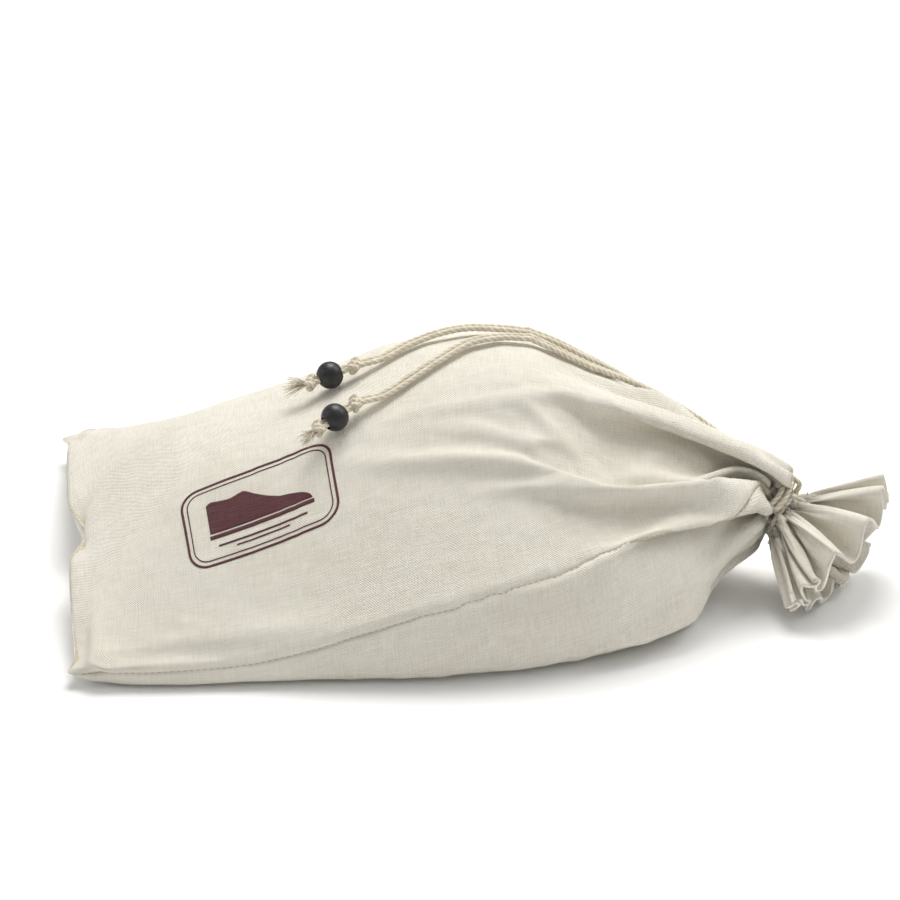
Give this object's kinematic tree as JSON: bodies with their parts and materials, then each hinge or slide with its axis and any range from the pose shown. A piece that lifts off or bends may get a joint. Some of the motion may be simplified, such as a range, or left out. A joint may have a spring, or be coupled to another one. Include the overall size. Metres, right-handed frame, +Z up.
{
  "type": "drawstring shoe bag",
  "caption": "Soft canvas drawstring bag lying on its back panel, filled out as with a pair of shoes, its gathered mouth closed by cords with round beads.",
  "frame": {"origin": "middle of the bag's outline on the surface it lies on, without the cords", "axes": "+X from the closed end to the mouth, +Y across the bag to its far side seam, +Z up"},
  "size_m": [0.4108, 0.2641, 0.1216],
  "materials": {
    "canvas": "plain weave, unbleached cotton",
    "seam_cloth": "raw cut edges, overlocked",
    "sewing_thread": "cotton thread",
    "ink": "matt screen print",
    "cotton_cord": "three-ply twist",
    "bead": "stained black, satin"
  },
  "bodies": {
    "bag": {"front_panel": "canvas", "back_panel": "canvas", "front_hem": "canvas", "back_hem": "canvas", "near_side_seam": "seam_cloth", "far_side_seam": "seam_cloth", "bottom_seam": "seam_cloth", "near_seam_thread": "sewing_thread", "far_seam_thread": "sewing_thread", "bottom_seam_thread": "sewing_thread", "front_hem_stitching": "sewing_thread", "back_hem_stitching": "sewing_thread", "printed_emblem": "ink", "near_cord": "cotton_cord", "far_cord": "cotton_cord"},
    "near_tail": {"near_cord_tail": "cotton_cord", "near_inner_knot": "cotton_cord", "near_end_knot": "cotton_cord"},
    "far_tail": {"far_cord_tail": "cotton_cord", "far_inner_knot": "cotton_cord", "far_end_knot": "cotton_cord"},
    "near_bead": {"near_bead": "bead"},
    "far_bead": {"far_bead": "bead"}
  },
  "joints": [
    {"name": "near_tail_lift", "type": "hinge", "parent": "bag", "child": "near_tail", "pos_m": [0.029, -0.005, 0.1198], "axis": [0, 1, 0], "range_deg": [0, 70]},
    {"name": "far_tail_lift", "type": "hinge", "parent": "bag", "child": "far_tail", "pos_m": [0.029, 0.007, 0.1182], "axis": [0, 1, 0], "range_deg": [0, 70]},
    {"name": "near_bead_slide", "type": "slide", "parent": "near_tail", "child": "near_bead", "axis": [0.7785, 0.5449, 0.3114], "range_m": [0, 0.003]},
    {"name": "far_bead_slide", "type": "slide", "parent": "far_tail", "child": "far_bead", "axis": [0.9335, 0.2334, 0.2723], "range_m": [0, 0.003]}
  ]
}
